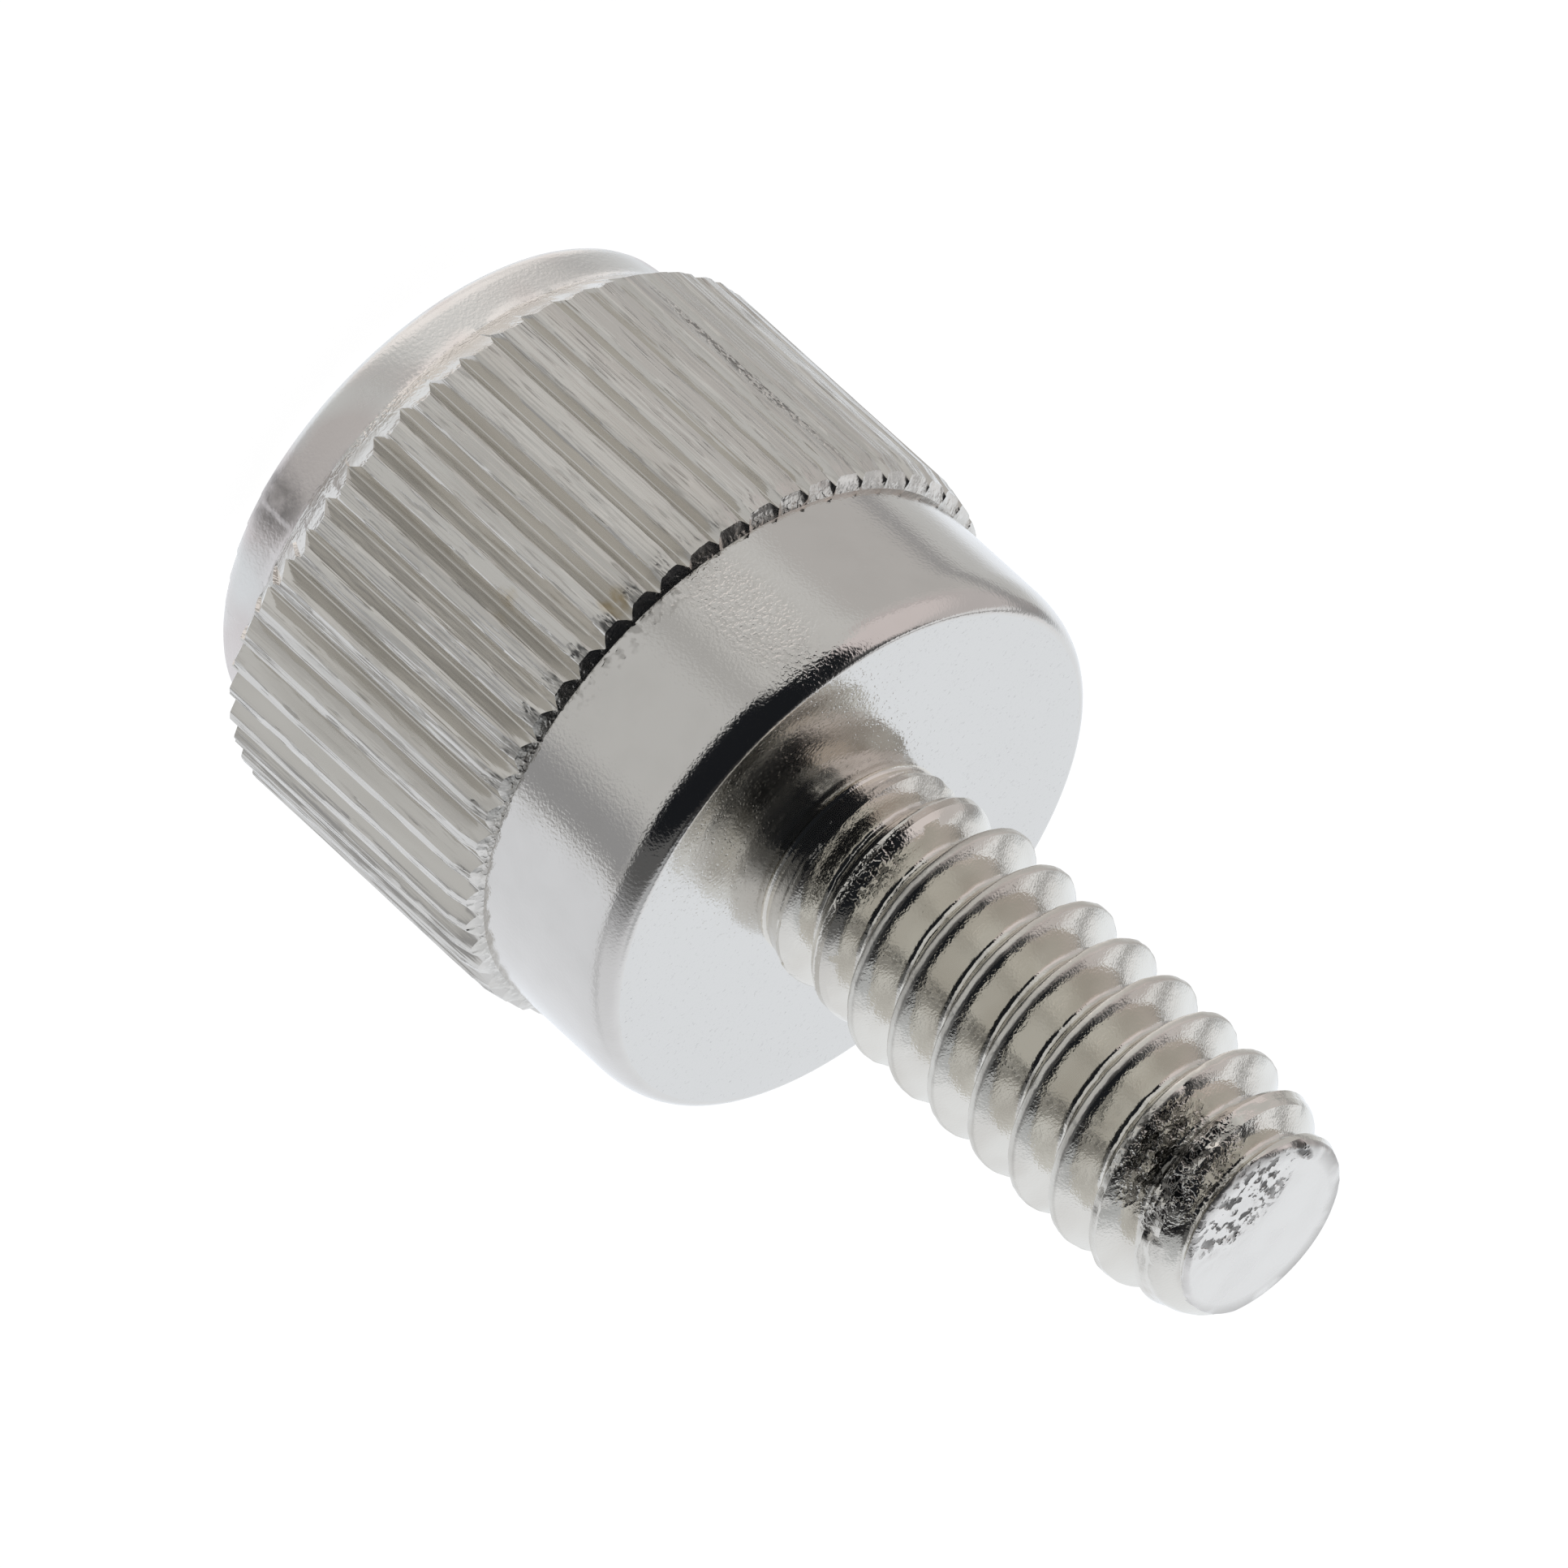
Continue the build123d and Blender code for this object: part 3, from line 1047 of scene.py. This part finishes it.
def studio_panels() -> list[Panel]:
    """The studio's table, walls, gaps and dark camera side, each laid over the ones before.

    Returns:
        The panels, from the back to the front.
    """
    return [
        Panel("table", -181, 181, -95, -8, (0.62, 0.625, 0.63), level_edge=4),
        Panel("table_right", 66, 200, -95, -8, (0.84, 0.87, 0.93), 7, 10),
        Panel("table_left", -124, -64, -95, -8, (0.57, 0.56, 0.56), 8, 8),
        Panel("rim_light", -150, -30, -95, -37, (1.05, 1.0, 0.99), 10, 10, 4),
        Panel("ceiling", -181, 181, 62, 95, (0.030, 0.030, 0.032), level_edge=9),
        Panel("wall_right", 72, 200, -8, 60, (0.79, 0.81, 0.86), 20, 10, 9, left_lean=0.2),
        Panel("top_right", 88, 140, 50, 72, (0.50, 0.52, 0.55), 10, 12, 8),
        Panel("far_right", 120, 200, -95, 52, (0.91, 0.94, 1.0), 30, 10, 9),
        Panel("wall_left", -118, -50, -8, 52, (0.76, 0.70, 0.71), 8, 4, 8),
        Panel("wall_far_left", -140, -100, -8, 47, (0.61, 0.58, 0.59), 12, 10, 4),
        Panel("back", 158, 212, -95, 43, (0.95, 0.99, 1.05), 14, 10, 13),
        Panel("high_left", -160, -130, 16, 60, (0.90, 0.91, 0.95), 5, 5, 6),
        Panel("gap_left", -136, -127, -95, 80, (0.37, 0.37, 0.38), 5, 5, left_lean=-0.45, right_lean=-0.45),
        Panel("table_near_left", -62, -36, -40, -8, (0.73, 0.735, 0.74), 8, 6),
        Panel("fold", -27, -13, -90, -8, (0.50, 0.50, 0.50), 8, 7),
        Panel("table_edge_right", 42, 63, -85, -10, (0.36, 0.365, 0.38), 9, 4),
        Panel("camera_side", -45, 42, -6, 95, (0.0125, 0.014, 0.017), 5, 4, 3, left_lean=-0.55),
        Panel("table_rise", -60, -24, -30, 4, (0.66, 0.66, 0.66), 5, 7, 3),
    ]


@dataclass
class Studio:
    """The light round the screw."""

    room: Light = (0.12, 0.122, 0.126)  # where no panel is
    panels: list[Panel] = field(default_factory=studio_panels)

    def build(self) -> None:
        """Soft panels by direction for every ray but the camera's, which sees white."""
        world = bpy.data.worlds.new("soft_studio")
        bpy.context.scene.world = world
        # The screw mirrors the panels, so rays that bounce off it find their light without a search
        world.cycles.sampling_method = "NONE"
        tree = empty_tree(world)
        place = add_node(tree, "ShaderNodeTexCoord")
        split = add_node(tree, "ShaderNodeSeparateXYZ", {0: place.outputs["Generated"]})
        back = add_node(tree, "ShaderNodeMath", {0: split.outputs["Y"], 1: -1.0}, operation="MULTIPLY")
        turn = add_node(tree, "ShaderNodeMath", {0: split.outputs["X"], 1: back}, operation="ARCTAN2")
        azimuth = add_node(tree, "ShaderNodeMath", {0: turn}, operation="DEGREES")
        lift = add_node(tree, "ShaderNodeMath", {0: split.outputs["Z"]}, operation="ARCSINE")
        level = add_node(tree, "ShaderNodeMath", {0: lift}, operation="DEGREES")
        light = (*self.room, 1.0)
        for panel in self.panels:
            light = panel.cover(tree, azimuth, level, light)
        path = add_node(tree, "ShaderNodeLightPath")
        room = add_node(tree, "ShaderNodeBackground", {"Color": light})
        white = add_node(tree, "ShaderNodeBackground", {"Color": linear(WHITE)})
        shown = add_node(tree, "ShaderNodeMixShader", {0: path.outputs["Is Camera Ray"], 1: room, 2: white})
        add_node(tree, "ShaderNodeOutputWorld", {"Surface": shown})


@dataclass
class Floor:
    """A sheet of white paper under the screw, in metres."""

    size: float = 1.2
    colour: str = "898989"  # dark enough for the screw's shadow to stay faint
    glow: float = 0.95  # added for the camera alone, so that it sees white

    def build(self) -> None:
        """The sheet, which the screw doesn't mirror: the studio's table panels stand for it there."""
        bm = bmesh.new()
        bmesh.ops.create_grid(bm, x_segments=1, y_segments=1, size=self.size / 2)
        mesh = bpy.data.meshes.new("floor")
        bm.to_mesh(mesh)
        bm.free()
        mesh.materials.append(self.paper())
        floor = add_object("floor", mesh)
        floor.visible_glossy = False

    def paper(self) -> bpy.types.Material:
        """Matt paper: it scatters light evenly and mirrors nothing.

        Returns:
            The material.
        """
        material = bpy.data.materials.new("white_paper")
        tree = empty_tree(material)
        path = add_node(tree, "ShaderNodeLightPath")
        matt = add_node(tree, "ShaderNodeBsdfDiffuse", {"Color": linear(self.colour)})
        glow = add_node(tree, "ShaderNodeEmission", {"Color": linear(WHITE), "Strength": self.glow})
        both = add_node(tree, "ShaderNodeAddShader", {0: matt, 1: glow})
        seen = add_node(tree, "ShaderNodeMixShader", {0: path.outputs["Is Camera Ray"], 1: matt, 2: both})
        add_node(tree, "ShaderNodeOutputMaterial", {"Surface": seen})
        return material


@dataclass
class Camera:
    """A long lens that looks down on the seating face, rolled so that the shank points down right."""

    seat: float  # the seating face's height, in metres
    tilt: float = 28.554  # degrees down from level
    roll: float = 42.395  # degrees
    distance: float = 400.0  # millimetres from the seating face's middle
    right_of: float = 0.858  # how far that middle lies right of the view's middle, in millimetres
    below: float = 0.970  # and below it
    lens: float = 710.8
    sensor: float = 36.0
    clip: Span = (0.01, 10.0)  # metres

    def build(self) -> None:
        """Places the camera and makes it the scene's own."""
        tilt, roll = math.radians(self.tilt), math.radians(self.roll)
        right = Vector((-math.sin(roll), math.cos(roll) * math.sin(tilt), math.cos(roll) * math.cos(tilt)))
        down = Vector((math.cos(roll), math.sin(roll) * math.sin(tilt), math.sin(roll) * math.cos(tilt)))
        ahead = Vector((0, math.cos(tilt), -math.sin(tilt)))
        data = bpy.data.cameras.new("camera")
        data.sensor_width = self.sensor
        data.lens = self.lens
        data.clip_start, data.clip_end = self.clip
        camera = add_object("camera", data)
        away = (right * self.right_of + down * self.below + ahead * self.distance) * MM
        turn = Matrix((right, -down, -ahead)).transposed().to_4x4()
        camera.matrix_world = Matrix.Translation(Vector((0, 0, self.seat)) - away) @ turn
        bpy.context.scene.camera = camera


def main() -> None:
    """Builds the screw, its finishes and the studio."""
    scene = bpy.context.scene
    scene.view_settings.view_transform = "Standard"
    _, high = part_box(NODE)
    seat = mount("seating_face")["pos_m"][2]
    shank = Shank(seat=seat / MM, tip=high.z / MM, crest_radius=mount("thread")["dims"]["r_mm"])
    head = Head(height=shank.seat, knurl_radius=high.y / MM, neck_radius=shank.neck_radius,
                neck_round=shank.neck_round)
    piece = ThumbScrew(head, shank).build()
    for finish in Finish:
        piece.data.materials.append(PLATES[finish].build())
    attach(piece, BODY)
    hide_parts(NODE)
    Studio().build()
    Floor().build()
    Camera(seat).build()
    LOG.info("%s: %d faces", piece.name, len(piece.data.polygons))


if __name__ == "__main__":
    main()
